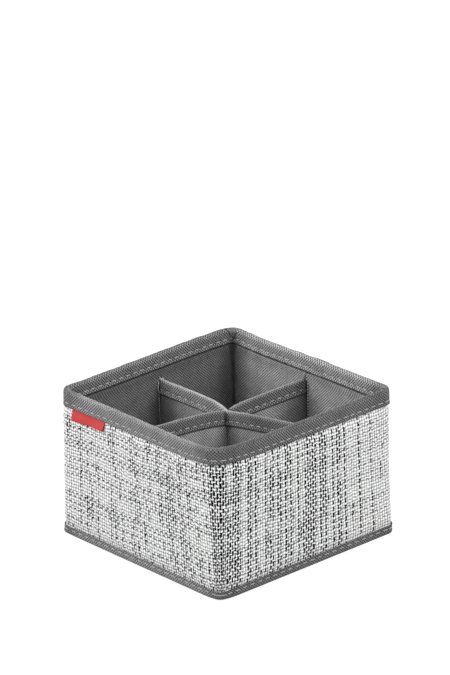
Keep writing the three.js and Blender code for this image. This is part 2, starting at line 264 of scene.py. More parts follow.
def dress(piece, material, slot, *nodes):
    """Gives a piece its material and its body, and hides the CAD nodes that it stands for."""
    piece.data.materials.clear()
    piece.data.materials.append(material)
    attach(piece, "root")
    if nodes:
        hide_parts(*nodes)


# Materials


SMOOTH = {"interpolation_type": "SMOOTHSTEP"}
RGBA = {"data_type": "RGBA"}
FLAT = {"noise_dimensions": "2D"}


def colour(code):
    """An sRGB hex value as a linear colour."""
    parts = [int(code[k : k + 2], 16) / 255 for k in (1, 3, 5)]
    return [p / 12.92 if p <= 0.04045 else ((p + 0.055) / 1.055) ** 2.4 for p in parts] + [1.0]


def node(tree, kind, inputs=(), operation=None, **settings):
    """Adds a node with its settings, values and links. A node among the inputs means its first output
    that is in use, and a hex value means its colour."""
    made = tree.nodes.new("ShaderNode" + kind)
    if operation:
        made.operation = operation
    for name, value in settings.items():
        setattr(made, name, value)
    for key, value in inputs.items() if isinstance(inputs, dict) else enumerate(inputs):
        if isinstance(value, bpy.types.Node):
            value = next(output for output in value.outputs if output.enabled)
        if isinstance(value, str):
            value = colour(value)
        if isinstance(value, bpy.types.NodeSocket):
            tree.links.new(value, made.inputs[key])
        else:
            made.inputs[key].default_value = value
    return made


def blank_material(name):
    """A new material, and the node function for its tree."""
    material = bpy.data.materials.new(name)
    material.use_nodes = True
    material.node_tree.nodes.clear()
    return material, functools.partial(node, material.node_tree)


def slub_tweed():
    """Plain-woven tweed of slub yarns: soft matt fibres, white wefts, and warps that are dyed in lengths
    from white through grey to black, so that the dark ones show as dashed columns."""
    material, add = blank_material("slub_tweed_cloth")
    place = add("UVMap", uv_map="cloth_mm")
    split = add("SeparateXYZ", [place])
    warp_place, weft_place = places = [add("Math", [at, MAP_LIFT], "ADD") for at in split.outputs[:2]]
    warp, weft = (add("Math", [at], "FLOOR") for at in places)
    warp_part, weft_part = (add("Math", [at], "FRACT") for at in places)
    warp_own, weft_own = (add("TexWhiteNoise", {"W": yarn}, noise_dimensions="1D") for yarn in (warp, weft))
    warp_over = add("Math", [add("Math", [warp, weft], "ADD"), 2.0], "MODULO")
    fibre = add("TexNoise", {"Vector": place, "Scale": 1.7, "Detail": 3.0}, **FLAT)

    # The front corner is darker than the walls beside it, and the last warps of the right wall are light
    past = [add("Math", [warp_place, FRONT_CORNER + warps], "SUBTRACT") for warps in (6, 69)]
    corner_far, right_far = (add("Math", [off], "ABSOLUTE") for off in past)
    corner_tone = add("MapRange", [corner_far, 6.0, 26.0, -0.24, 0.11])
    right_tone = add("MapRange", [right_far, 4.0, 10.0, 0.8, 0.0])

    # A warp is two plies side by side. The right one is white. The left one has its own shade, and is dyed
    # lighter and darker along its length: often on the left and front walls, while on the other two a shade
    # holds from rim to foot. Two black ones lie by the front corner.
    changes, own_share, warp_level = (
        add("MapRange", [warp_place, FRONT_CORNER - 6, FRONT_CORNER + 8, *ends])
        for ends in ((1.6, 1.15), (0.5, 1.3), (0.48, 0.24))
    )
    warp_apart = add("Math", [warp, 7.31], "MULTIPLY")
    warp_line = add("CombineXYZ", [warp_apart, add("Math", [weft_place, 0.13], "MULTIPLY"), 0.0])
    warp_dye = add("TexNoise", {"Vector": warp_line, "Scale": 1.0, "Detail": 2.0}, **FLAT)
    tall = add("Mapping", {"Vector": place, "Scale": (0.085, 0.022, 1.0)})
    region = add("TexNoise", {"Vector": tall, "Scale": 1.0, "Detail": 1.0}, **FLAT)
    own_part = add("Math", [warp_own, own_share, warp_level], "MULTIPLY_ADD")
    warp_mix = add("Math", [warp_dye, changes, own_part], "MULTIPLY_ADD")
    warp_shade = add("Math", [region, 0.9, warp_mix], "MULTIPLY_ADD")
    warp_toned = add("Math", [warp_shade, add("Math", [corner_tone, right_tone], "ADD")], "ADD")
    beside_corner = [add("Math", [warp, FRONT_CORNER + warps, 0.5], "COMPARE") for warps in (-2, 1)]
    corner_warps = add("Math", beside_corner, "ADD")
    warp_dark = add("Math", [corner_warps, -1.2, warp_toned], "MULTIPLY_ADD")
    not_black = add("MapRange", [warp_dark, 1.76, 1.92], **SMOOTH)
    not_grey = add("MapRange", [warp_dark, 1.82, 2.05], **SMOOTH)
    black_to_grey = add("Mix", {0: not_black, 6: "#020202", 7: "#444444"}, **RGBA)
    dyed = add("Mix", {0: not_grey, 6: black_to_grey, 7: "#e4e4e4"}, **RGBA)
    ply_edge = add("MapRange", [fibre, 0.3, 0.7, 0.42, 0.72])
    dark_edge = add("Math", [corner_warps, 0.12, ply_edge], "MULTIPLY_ADD")
    white_ply = add("Math", [warp_part, dark_edge], "GREATER_THAN")
    warp_colour = add("Mix", {0: white_ply, 6: dyed, 7: "#fcfcfc"}, **RGBA)

    # A weft has two plies too, one above the other. The lower one is dyed in lengths, and the dark ones
    # show most on the left and front walls.
    weft_share, weft_level, lower_edge = (
        add("MapRange", [warp_place, FRONT_CORNER - 8, FRONT_CORNER + 17, *ends])
        for ends in ((1.5, 1.35), (-0.05, 0.04), (0.54, 0.44))
    )
    weft_apart = add("Math", [weft, 5.83], "MULTIPLY")
    weft_line = add("CombineXYZ", [add("Math", [warp_place, 0.10], "MULTIPLY"), weft_apart, 3.0])
    weft_dye = add("TexNoise", {"Vector": weft_line, "Scale": 1.0, "Detail": 2.0})
    weft_own_part = add("Math", [weft_own, weft_share, weft_level], "MULTIPLY_ADD")
    weft_shade = add("Math", [weft_dye, 1.5, weft_own_part], "MULTIPLY_ADD")
    weft_toned = add("Math", [weft_shade, add("Math", [corner_tone, 0.5], "MULTIPLY")], "ADD")
    weft_white = add("MapRange", [weft_toned, 1.15, 1.5], **SMOOTH)
    weft_dyed = add("Mix", {0: weft_white, 6: "#101010", 7: "#e8e8e8"}, **RGBA)
    upper_ply = add("Math", [weft_part, lower_edge], "GREATER_THAN")
    weft_colour = add("Mix", {0: upper_ply, 6: weft_dyed, 7: "#fafafa"}, **RGBA)

    # Both yarns are narrower than their places. A slub makes them thicker and thinner.
    slub = add("MapRange", [fibre, 0.3, 0.7, 0.7, 1.2])
    weft_wide = add("Math", [corner_warps, -0.06, WEFT_HALF], "MULTIPLY_ADD")
    halves = [add("Math", [slub, wide], "MULTIPLY") for wide in (WARP_HALF, weft_wide)]
    from_warp, from_weft = far = [
        add("Math", [add("Math", [part, 0.5], "SUBTRACT")], "ABSOLUTE") for part in (warp_part, weft_part)
    ]
    across_warp, across_weft = spans = [add("Math", pair, "DIVIDE") for pair in zip(far, halves)]
    in_warp, in_weft = (add("Math", [span, 1.0], "LESS_THAN") for span in spans)

    # Where only one of them lies, it shows. Where both lie, the upper one does. Elsewhere is a gap between
    # yarns, half the dyed ply below and half a painted shade of dark grey.
    off_weft = add("Math", [1.0, in_weft], "SUBTRACT")
    shows_warp = add("Math", [add("Math", [warp_over, off_weft], "MAXIMUM"), in_warp], "MULTIPLY")
    some_yarn = add("Math", [in_warp, in_weft], "MAXIMUM")
    yarn = add("Mix", {0: shows_warp, 6: weft_colour, 7: warp_colour}, **RGBA)
    gap = add("Mix", {0: 0.5, 6: "#505050", 7: dyed}, **RGBA)
    woven = add("Mix", {0: some_yarn, 6: gap, 7: yarn}, **RGBA)

    # A yarn is lit on its crown, and lies in shade at its sides and where it dives under the next
    across = add("Mix", {0: shows_warp, 2: across_weft, 3: across_warp})
    lengthwise = add("Mix", {0: shows_warp, 2: from_warp, 3: from_weft})
    edge_light = add("Mix", {0: shows_warp, 2: 0.34, 3: 0.72})
    side_light = add("MapRange", [across, 0.5, 1.05, 1.0, edge_light], **SMOOTH)
    end_light = add("MapRange", [lengthwise, 0.24, 0.5, 1.0, 0.42], **SMOOTH)
    light = add("Math", [side_light, end_light], "MULTIPLY")
    hair = add("TexNoise", {"Vector": place, "Scale": 4.0, "Detail": 2.0}, **FLAT)
    shade = add("Math", [light, add("MapRange", [hair, 0.3, 0.7, 0.86, 1.50])], "MULTIPLY")
    grey = add("CombineColor", [shade] * 3)
    shaded = add("Mix", {0: 1.0, 6: woven, 7: grey}, blend_type="MULTIPLY", **RGBA)
    relief = add("Math", [light, hair], "ADD")
    look = {
        "Base Color": shaded,
        "Roughness": 0.95,
        "IOR": 1.5,
        "Specular IOR Level": 0.12,
        "Sheen Weight": 0.02,
        "Sheen Roughness": 0.5,
        "Normal": add("Bump", {"Strength": 0.35, "Distance": 0.0002, "Height": relief}),
    }
    add("OutputMaterial", [add("BsdfPrincipled", look)])
    return material


def spunbond(name, pit, ground, diamond, depth, shade, fold_fade_and_highlight, crease, painted_inner_leg_light):
    """Spunbonded polypropylene felt: a matt web of fine fibres, pressed flat in a lattice of small
    diamonds. A highlight is painted over the lattice where a tape is folded over a divider, and the lattice
    is faint on the rim's fold. A shadow is painted on the lining where it comes out from under a tape.
    Shade is painted on the left and right walls, with deeper pits, and on the corners, and light on the
    front and rear walls and on the rim tape's leg within the box. Real fibres, 0.02 mm thick, are too fine
    to show and are drawn 0.3 mm."""
    material, add = blank_material(name)
    place = add("UVMap", uv_map="cloth_mm")
    split = add("SeparateXYZ", [place])
    along, down, _ = split.outputs
    slants = [
        add("Math", [add("Math", [along, down], way), 2 * math.pi / diamond], "MULTIPLY")
        for way in ("ADD", "SUBTRACT")
    ]
    lattice = add("Math", [add("Math", [slant], "COSINE") for slant in slants], "ADD")
    web = add("TexNoise", {"Vector": place, "Scale": 1.5, "Detail": 4.0}, **FLAT)
    cloudy = add("TexNoise", {"Vector": place, "Scale": 0.11, "Detail": 2.0}, **FLAT)
    embossed = add("MapRange", [lattice, -0.75, 0.75], **SMOOTH)
    from_top = add("Math", [add("Math", [down, -RIM_FOLD], "ADD")], "ABSOLUTE")
    faint = add("MapRange", [from_top, 0.7, 1.8, fold_fade_and_highlight, 0.0], **SMOOTH)
    pressed = add("Mix", {0: faint, 2: embossed, 3: 0.36})
    fibres = add("MapRange", [web, 0.3, 0.7, -0.42, 0.42])
    toned = add("Math", [pressed, fibres], "ADD", use_clamp=True)
    # Along a divider tape's fold the lattice is lifted to a painted highlight
    from_fold = add("Math", [down], "ABSOLUTE")
    fold_highlight = add("MapRange", [from_fold, 0.5, 1.6, fold_fade_and_highlight, 0.0], **SMOOTH)
    surface = add("Math", [toned, fold_highlight], "MAXIMUM")
    # Painted shade and light: darker, with deeper pits, on the left and right walls, and lighter on the
    # front and rear
    turns = [along, 4 * math.pi / ROUND, -math.pi * 2 * STRAIGHT_RUN / ROUND]
    side_turn = add("Math", turns, "MULTIPLY_ADD")
    side_wave = add("Math", [side_turn], "COSINE")
    side = add("MapRange", [side_wave, -0.4, 0.4, shade, 1.15], **SMOOTH)
    pit_shade_power = add("MapRange", [side_wave, -0.4, 0.4, 1.8, 1.0])
    pit_shaded = add("Math", [surface, pit_shade_power], "POWER")
    felt = add("Mix", {0: pit_shaded, 6: pit, 7: ground}, **RGBA)
    corner_shade_wave = add("Math", [add("Math", [side_turn, 2.0], "MULTIPLY")], "COSINE")
    # A random cloudy tone, times the painted shade and light below
    tone_and_painted_shade = add("MapRange", [cloudy, 0.3, 0.7, 0.88, 1.1])
    for part in (
        # Painted shade at the corners
        add("MapRange", [corner_shade_wave, -0.98, -0.6, 0.72, 1.0], **SMOOTH),
        # Painted light on the rim tape's leg within the box
        add("MapRange", [down, 13.0, 18.0, 0.97, painted_inner_leg_light]),
        side,
        # Painted shadow on the lining just below a tape's edge
        add("MapRange", [down, 1.0, 1.8, crease, 1.0], **SMOOTH),
    ):
        tone_and_painted_shade = add("Math", [tone_and_painted_shade, part], "MULTIPLY")
    grey = add("CombineColor", [tone_and_painted_shade] * 3)
    # The felt times its tone, painted shade and painted light
    uneven = add("Mix", {0: 1.0, 6: felt, 7: grey}, blend_type="MULTIPLY", **RGBA)
    relief = add("Math", [web, 0.35, pressed], "MULTIPLY_ADD")
    look = {
        "Base Color": uneven,
        "Roughness": 0.78,
        "IOR": 1.49,
        "Specular IOR Level": 0.35,
        "Sheen Weight": 0.12,
        "Sheen Roughness": 0.45,
        "Normal": add("Bump", {"Strength": depth, "Distance": 0.00025, "Height": relief}),
    }
    add("OutputMaterial", [add("BsdfPrincipled", look)])
    return material


def satin_label():
    """Woven satin tape of polyester: saturated red, with a low sheen along its fine warps. Real warps lie
    0.1 mm apart and are drawn 0.5 mm apart so that they show."""
    material, add = blank_material("red_satin_tape")
    place = add("UVMap", uv_map="cloth_mm")
    split = add("SeparateXYZ", [place])
    rib = add("Math", [add("Math", [split.outputs[1], 2 * math.pi / 0.5], "MULTIPLY")], "SINE")
    thread = add("TexNoise", {"Vector": place, "Scale": 1.8, "Detail": 2.0}, **FLAT)
    mixed = add("MapRange", [thread, 0.3, 0.7])
    red = add("Mix", {0: mixed, 6: "#b41a1a", 7: "#ca302e"}, **RGBA)
    look = {
        "Base Color": red,
        "Roughness": 0.5,
        "IOR": 1.5,
        "Specular IOR Level": 0.4,
        "Sheen Weight": 0.1,
        "Normal": add("Bump", {"Strength": 0.3, "Distance": 0.0001, "Height": rib}),
    }
    add("OutputMaterial", [add("BsdfPrincipled", look)])
    return material


def greyboard():
    """Recycled greyboard: brown-grey pulp with short fibres and flecks, quite matt."""
    material, add = blank_material("greyboard")
    place = add("TexCoord").outputs["Object"]
    pulp = add("TexNoise", {"Vector": place, "Scale": 900.0, "Detail": 4.0})
    fleck = add("TexNoise", {"Vector": place, "Scale": 260.0, "Detail": 1.0})
    mixed = add("MapRange", [pulp, 0.3, 0.7])
    speck = add("MapRange", [fleck, 0.62, 0.72])
    board = add("Mix", {0: mixed, 6: "#96805f", 7: "#b39a76"}, **RGBA)
    flecked = add("Mix", {0: speck, 6: board, 7: "#6e5d45"}, **RGBA)
    raised = add("Bump", {"Strength": 0.25, "Distance": 0.0001, "Height": pulp})
    look = {"Base Color": flecked, "Roughness": 0.88, "Normal": raised}
    add("OutputMaterial", [add("BsdfPrincipled", look)])
    return material


def sewing_thread():
    """Spun polyester thread, a shade lighter than the tape. Its twist, 0.4 mm, shows as slanting ridges."""
    material, add = blank_material("grey_sewing_thread")
    place = add("TexCoord").outputs["Object"]
    waved = {"Vector": place, "Scale": 380.0, "Distortion": 0.5}
    twist = add("TexWave", waved, bands_direction="DIAGONAL").outputs[1]
    tone = add("Mix", {0: twist, 6: "#acacac", 7: "#cccccc"}, **RGBA)
    raised = add("Bump", {"Strength": 0.4, "Distance": 0.0001, "Height": twist})
    look = {"Base Color": tone, "Roughness": 0.6, "Sheen Weight": 0.15, "Normal": raised}
    add("OutputMaterial", [add("BsdfPrincipled", look)])
    return material


# The emboss's depth, the painted shade of the left and right walls, the fade and painted highlight of a
# fold, the painted shadow in the first millimetre out of a tape, and the painted light on the rim tape's
# leg within the box
TAPE_LOOK = {"depth": 1.0, "shade": 0.74, "fold_fade_and_highlight": 0.75, "crease": 1.0, "painted_inner_leg_light": 1.20}
LINING_LOOK = {"depth": 0.9, "shade": 0.50, "fold_fade_and_highlight": 0.0, "crease": 0.2, "painted_inner_leg_light": 0.97}
TWEED = slub_tweed()
TAPE = spunbond("tape_spunbond_felt", "#242424", "#a3a3a3", TAPE_DIAMOND, **TAPE_LOOK)
LINING = spunbond("lining_spunbond_felt", "#484848", "#b4b4b4", LINING_DIAMOND, **LINING_LOOK)
LABEL = satin_label()
CARD = greyboard()
THREAD = sewing_thread()


# The tweed cover


def woven_height(warps, wefts):
    """How far the woven face stands out, 0 to 1: every crossing of two yarns is a small mound."""
    from_warp = np.mod(warps, 1) * 2 - 1
    from_weft = np.mod(wefts, 1) * 2 - 1
    return (1 - from_warp**2) * (1 - from_weft**2)


def cover_swell(up):
    """Between its tapes the cover swells until it is level with them."""
    off_base = ease(up, BASE_TAPE_HEIGHT - 1, BASE_TAPE_HEIGHT + 5)
    return 0.95 * off_base * ease(-up, -OUTER_TAPE_EDGE - 0.5, -OUTER_TAPE_EDGE + 6)


def tweed_cover():
    """The cover is one strip. It is modelled in four lengths, which meet at the middle of each corner."""
    columns = int(round(SIDE_RUN / WARP_PITCH * YARN_STEPS))
    low, high = BASE_TAPE_HEIGHT - WOVEN_UNDER_TAPE, OUTER_TAPE_EDGE + WOVEN_UNDER_TAPE
    levels = int(round((high - low) / WEFT_PITCH * YARN_STEPS))
    up = np.concatenate([[WALL_TOP, WALL_TOP - 3], np.linspace(high, low, levels), [WALL_BOTTOM]])
    for number, name in enumerate(NEXT_WALLS):
        start = (number + 1) * SIDE_RUN - CORNER_RUN / 2 - ROUND * (number > 1)
        spread = np.linspace(start, start + SIDE_RUN, columns + 1)
        along, rise = np.meshgrid(spread, up)
        # The yarns waver a little, and the first rows under the rim tape are pulled by its stitches
        warps = along / WARP_PITCH + ripples(along, rise, (0.16, 60, 11), (0.12, 9, 12), (0.07, 4, 16))
        wefts = rise / WEFT_PITCH + ripples(along, rise, (0.35, 75, 13), (0.12, 9, 14), (0.09, 4, 17))
        pull = np.sin(2 * math.pi * along / 17 + 1.5 * np.sin(along / 31))
        wefts = wefts + 0.25 * pull * bump(rise, OUTER_TAPE_EDGE, 5)
        covered = ease(rise, OUTER_TAPE_EDGE + 0.6, OUTER_TAPE_EDGE + 1.6)
        mounds = 0.3 * (woven_height(warps, wefts) - 0.5) * (1 - covered)
        out = mounds + cover_swell(rise) + 0.1 * waves(along, rise, 28, 15)
        back_along, back_up = np.meshgrid(spread, [WALL_BOTTOM, WALL_TOP])
        piece = shell(
            f"tweed_{name}",
            around(along, COVER_INSET - out, rise),
            around(back_along, COVER_INSET + COVER_THICK, back_up),
            np.stack([warps, wefts], -1),
            np.stack([back_along / WARP_PITCH, back_up / WEFT_PITCH], -1),
        )
        dress(piece, TWEED, "tweed", "outer_cover")


# The binding tapes


def arc_rows(inset, up, radius, end, steps):
    """Rows of a fold: inset, height and the way that the face looks, from 0 outwards. 90 is up."""
    turn = np.radians(np.linspace(0, end, steps))
    return np.stack([inset - radius * np.cos(turn), up + radius * np.sin(turn), turn], -1)


def leg_rows(insets, heights, looks, steps):
    """Rows of a leg that lies flat, from one inset and height to another."""
    looks = np.full(steps, math.radians(looks))
    return np.stack([np.linspace(*insets, steps), np.linspace(*heights, steps), looks], -1)


def distances(rows):
    """The way along a section, row by row."""
    steps = np.hypot(np.diff(rows[:, 0]), np.diff(rows[:, 1]))
    return np.concatenate([[0], np.cumsum(steps)])


def stitched(way, along, width, hem):
    """How a sewn tape lies: pressed in along its stitches, puffed between them, and with loose hems."""
    other_way = width - way
    press = bump(way, STITCH_FROM_EDGE, 0.75) + bump(other_way, STITCH_FROM_EDGE, 0.75)
    pull = 0.7 + 0.3 * np.cos(2 * math.pi * along / STITCH_PITCH)
    puff = 0.12 * (1 - np.clip(press, 0, 1)) * ease(way, 0.5, 4) * ease(other_way, 0.5, 4)
    loose = 1 - ease(way, 0, STITCH_FROM_EDGE) + 1 - ease(other_way, 0, STITCH_FROM_EDGE)
    uneven = ripples(along, way, (0.07, 9, 21), (0.12, 30, 22))
    return puff - 0.3 * press * pull + loose * (hem + 0.18 * waves(along, way, 7, 23)) + uneven


def hoop_places(rows, along, out):
    """Places of a tape's rows all round the box, moved out of the face by some amount."""
    inset, up, looks = (rows[:, k : k + 1] for k in range(3))
    return around(along, inset - out * np.cos(looks), up + out * np.sin(looks))


def hoop(name, node_name, rows, spread, across, out):
    """A tape all round the box, moved out of its face by so much. Under the box it is never moved down."""
    face_out = np.where(rows[:, 1:2] < 0.7 * BASE_TAPE_ROUND, np.minimum(out, 0), out)
    face = hoop_places(rows, spread, face_out)
    back = hoop_places(rows[::-3], spread[::-3], out[::-3] * 0.7 - TAPE_THICK)
    uv = np.stack([spread, across + TAPE_MAP], -1)
    piece = shell(name, face, back, uv, uv[::-3], closed=True)
    dress(piece, TAPE, "tape", node_name)


def rim_tape():
    """The rim tape, folded over the top edge. Its ends overlap on the rear wall, and where it turns a
    corner its inner leg has too much cloth, which is tucked into a slanting pleat."""
    leg_end = WALL_TOP - 0.5
    rows = np.concatenate([
        leg_rows((0, 0), (OUTER_TAPE_EDGE, leg_end), 0, 15),
        arc_rows(RIM_THICK / 2, WALL_TOP, RIM_THICK / 2, 180, 13),
        leg_rows((RIM_THICK, RIM_THICK), (leg_end, INNER_TAPE_EDGE), 180, 14),
    ])
    by_pleat = np.arange(1, 45) * 0.2
    along = np.unique(np.concatenate([HOOP, HOOP[0] + by_pleat, BACK_CORNER - by_pleat]))
    way = distances(rows)
    spread, across = np.meshgrid(along, way)
    inner = way[-1] - across
    out = stitched(across, spread, way[-1], 0.2)
    out = out + 0.35 * ease(10 - inner, 0, 3) + 0.25 * (1 - ease(inner, 0, 2.4))
    for corner in range(-1, 3):
        middle = (corner + 1) * SIDE_RUN - CORNER_RUN / 2
        lean = (spread - middle) + 0.45 * (inner - 2) * (1 if corner % 2 else -1)
        tucked = ease(lean, -0.45, 0.45) * (1 - ease(lean, 1.5, 7)) * ease(13.5 - inner, 0, 3)
        out = out + 0.62 * tucked - 0.35 * bump(lean, -0.9, 0.8) * ease(13 - inner, 0, 3)
    # At the back corner the inner leg is tucked in from both sides
    lean = np.minimum(BACK_CORNER - spread, spread + ROUND - BACK_CORNER) - 0.7 * inner
    fold = 0.45 * ease(lean, 0, 0.5) * (1 - ease(lean, 1, 5)) - 0.9 * bump(lean, 0, 0.5)
    out = out + fold * ease(12 - inner, 0, 3)
    # One end of the tape lies over the other on the rear wall, and is cut on a slant
    past_join = spread - 2 * SIDE_RUN - 50
    out = out + 0.4 * ease(past_join - 0.25 * (across - 11), -0.4, 0.4) * (1 - ease(past_join, 8, 22))
    hoop("rim_tape", "rim_binding", rows, spread, across, out)
    sew_round("rim_outer_stitches", rows, STITCH_FROM_EDGE, -STITCH_SINK)
    sew_round("rim_inner_stitches", rows, way[-1] - STITCH_FROM_EDGE, 0.26)


def base_tape():
    """The base tape, folded round the bottom edge and sewn through both legs."""
    corner = BASE_TAPE_ROUND
    rows = np.concatenate([
        leg_rows((0, 0), (BASE_TAPE_HEIGHT, corner), 0, 12)[:-1],
        arc_rows(corner, corner, corner, -90, 7),
        leg_rows((corner, BASE_TAPE_UNDER), (0, 0), -90, 10)[1:],
    ])
    way = distances(rows)
    spread, across = np.meshgrid(HOOP, way)
    off_floor = ease(rows[:, 1:2], 0.2, 2.5)
    out = stitched(across, spread, way[-1], 0.2) * off_floor - 0.25 * (1 - off_floor)
    hoop("base_tape", "base_binding", rows, spread, across, out)
    sew_round("base_stitches", rows, STITCH_FROM_EDGE, -STITCH_SINK)


# Stitches and cards


def sliced(cuts):
    """Cuts the active piece by planes, each across an axis at a place. Returns it and its corners."""
    bpy.ops.object.mode_set(mode="EDIT")
    for axis, at in cuts:
        place, facing = [0, 0, 0], [0, 0, 0]
        place[axis], facing[axis] = at, 1
        bpy.ops.mesh.select_all(action="SELECT")
        bpy.ops.mesh.bisect(plane_co=place, plane_no=facing)
    bpy.ops.object.mode_set(mode="OBJECT")
    piece = bpy.context.active_object
    return piece, np.array([vertex.co for vertex in piece.data.vertices])


def one_stitch():
    """A single stitch, modelled once: a short thick thread with its ends drawn down into the cloth."""
    bpy.ops.object.select_all(action="DESELECT")
    bpy.ops.mesh.primitive_cylinder_add(
        vertices=6, radius=STITCH_THICK / 2, depth=STITCH_LENGTH, rotation=(0, math.pi / 2, 0)
    )
    bpy.ops.object.transform_apply(location=False, rotation=True, scale=False)
    piece, places = sliced([(0, -STITCH_LENGTH / 4), (0, STITCH_LENGTH / 4)])
    reach = np.abs(places[:, 0]) / (STITCH_LENGTH / 2)
    places[:, 1:] *= (1 - 0.45 * reach**4)[:, None]
    places[:, 2] -= 0.3 * reach**3
    faces = [list(face.vertices) for face in piece.data.polygons]
    bpy.data.objects.remove(piece)
    return places, faces


STITCH = one_stitch()


def sew(name, middles, forward, outward, thicker=1.0):
    """Copies of the stitch at each middle, pointing forward, with its crown outward."""
    places, faces = STITCH
    ways = np.stack([forward, np.cross(outward, forward), outward], 1)
    made = middles[:, None] + (places * [1.0, thicker, thicker]) @ ways
    firsts = range(0, len(places) * len(middles), len(places))
    polygons = [[corner + first for corner in face] for first in firsts for face in faces]
    dress(new_piece(name, made, polygons), THREAD, "tape")


def sew_round(name, rows, place, out):
    """A line of stitches all round the box, so far along a tape's section."""
    row = np.array([[np.interp(place, distances(rows), column) for column in rows.T]])
    along = HOOP[0] + (np.arange(int(ROUND / STITCH_PITCH)) + 0.5) * STITCH_PITCH
    here, ahead, raised = (
        settle(hoop_places(row, along[None] + step, np.full((1, len(along)), out + lift)))[0]
        for step, lift in ((0, 0), (0.5, 0), (0, 0.5))
    )
    sew(name, here, unit(ahead - here), unit(raised - here))


def card_block(name, cuts):
    """A block from -1 to 1 each way, cut across so that it can bow, and its corners."""
    bpy.ops.object.select_all(action="DESELECT")
    bpy.ops.mesh.primitive_cube_add(size=2)
    bpy.context.active_object.name = name
    return sliced(cuts)


def bowed_card(card, places, node_name):
    """Puts a card's corners at their places on the settled box, and rounds its cut edges a little."""
    card.data.vertices.foreach_set("co", (settle(places) * MM).astype(np.float32).ravel())
    bevel = card.modifiers.new("cut_edges", "BEVEL")
    bevel.width = CUT_EDGE * MM
    bevel.segments = 2
    bevel.limit_method = "ANGLE"
    bpy.context.view_layer.objects.active = card
    bpy.ops.object.modifier_apply(modifier=bevel.name)
    dress(card, CARD, "card", node_name)


def wall_cards():
    """The four cards of the walls, flat sheets that bow with the cloth."""
    cuts = [(axis, -1 + cut / 12) for cut in range(1, 24) for axis in (0, 2)]
    for number, wall in enumerate(WALLS):
        card, places = card_block(f"{wall}_card", cuts)
        x = places[:, 0] * (HALF - RIM_CORNER)
        y = -(HALF - BOARD_INSET - BOARD_THICK / 2) + places[:, 1] * BOARD_THICK / 2
        z = WALL_BOTTOM + (places[:, 2] + 1) / 2 * (WALL_TOP - WALL_BOTTOM)
        bowed_card(card, turned(x, y, z, number), f"{wall}_wall_board")


# The linings


def wing_top(wing, part):
    """The height of a divider's top, part of the way from the crossing to the wall."""
    form = WINGS[wing]
    return CROSSING_TOP + form["rise"] * (1 - np.exp(-part / form["within"])) + form["climb"] * part


def lining_round(up):
    """The radius of the lining's outer side: round under the rim tape, and below it as tight a crease as
    the room behind it allows."""
    tighter = (BOARD_THICK + 0.15) / (math.sqrt(2) - 1) * ease(INNER_TAPE_EDGE - up, -1, 9)
    return np.maximum(corner_radius(up) - LINING_INSET - tighter, 0.8)


def panel_edge(wall, up, way):
    """How far along its wall, anticlockwise from above, a panel's edge lies: beside a divider's seam, one
    way or the other. Over the rear divider the seam leans to the right and opens a little."""
    x, y = WINGS[wall]["end"]
    top = wing_top(wall, 1.0)
    lean = 2.9 * ease(up, top - 0.5, INNER_TAPE_EDGE + 0.5) * (wall == "rear")
    gap = 0.04 + 0.16 * ease(up, top - 2, top) * (wall == "rear")
    place = {"front": x, "right": y, "rear": -x, "left": -y}[wall] - lean + way * gap
    straight = HALF - LINING_INSET - lining_round(up)
    return place / (2 * straight) * STRAIGHT_RUN + STRAIGHT_RUN / 2


def pinch(beside, up, top):
    """How a panel lies beside a seam: raised in a ridge, and drawn in behind it where a divider is held."""
    pinched = 1 - ease(up, top - 1, top + 4)
    ridge = 2.3 - 1.2 * ease(up, top - 1.5, top + 0.5)
    return (0.1 + 0.9 * pinched) * bump(beside, ridge, 0.5) - 0.8 * pinched * bump(beside, ridge - 1.1, 0.5)


def lining_panels():
    """Four panels, each folded round one corner and pinched into the seams that hold the dividers."""
    groove = np.linspace(INNER_TAPE_EDGE + 0.9, INNER_TAPE_EDGE - 2.4, 23)
    lower = [np.linspace(87.8, 80, 14), np.linspace(79, WALL_BOTTOM, 58)]
    up = np.concatenate([[WALL_TOP, 94.5], groove, *lower])[:, None]
    leg = np.concatenate([np.linspace(0, 0.08, 26)[:-1], np.linspace(0.08, 1, 62)])
    corner = np.broadcast_to(STRAIGHT_RUN + CORNER_RUN * np.linspace(0, 1, 9)[1:-1], (len(up), 7))
    names = ("front_right", "rear_right", "rear_left", "front_left")
    for number, (name, wall, following) in enumerate(zip(names, WALLS, NEXT_WALLS)):
        first, final = panel_edge(wall, up, 1), panel_edge(following, up, -1)
        parts = [first + (STRAIGHT_RUN - first) * leg, corner, SIDE_RUN + final * (1 - leg[::-1])]
        run = np.concatenate(parts, axis=1) + number * SIDE_RUN
        rise = np.broadcast_to(up, run.shape)
        inward = ripples(run, rise, (0.28, 48, 31), (0.1, 14, 32))
        inward = inward + 0.16 * waves(run, rise * 0.3, 7, 33) * bump(rise, INNER_TAPE_EDGE, 6)
        inward = inward + pinch(run - run[:, :1], rise, wing_top(wall, 1.0))
        inward = inward + pinch(run[:, -1:] - run, rise, wing_top(following, 1.0))
        # The cloth bulges out from under the rim tape, and on both sides of the crease in the corner
        below = INNER_TAPE_EDGE - rise
        inward = inward + 1.25 * ease(below, 0.3, 1.3) - 0.85 * ease(below, 1.6, 8)
        inward = inward + 0.3 * ease(below, 6, 16)
        creased = np.abs(run - (number + 1) * SIDE_RUN + CORNER_RUN / 2) - CORNER_RUN / 2
        inward = (inward + 0.55 * bump(creased, 2.4, 1.9) * ease(below, 2, 9)) * ease(creased, -1.5, 1.0)
        inward = np.maximum(inward * ease(WALL_TOP - rise, 0, 6), -0.3)
        radius = lining_round(up)
        face = around(run, LINING_INSET + LINING_THICK + inward, rise, radius)[::-1]
        back = around(run, LINING_INSET + inward * 0.9, rise, radius)[::4]
        uv = np.stack([run, below], -1)
        piece = shell(f"{name}_lining_cloth", face, back, uv[::-1], uv[::4])
        dress(piece, LINING, "lining", f"{name}_lining")


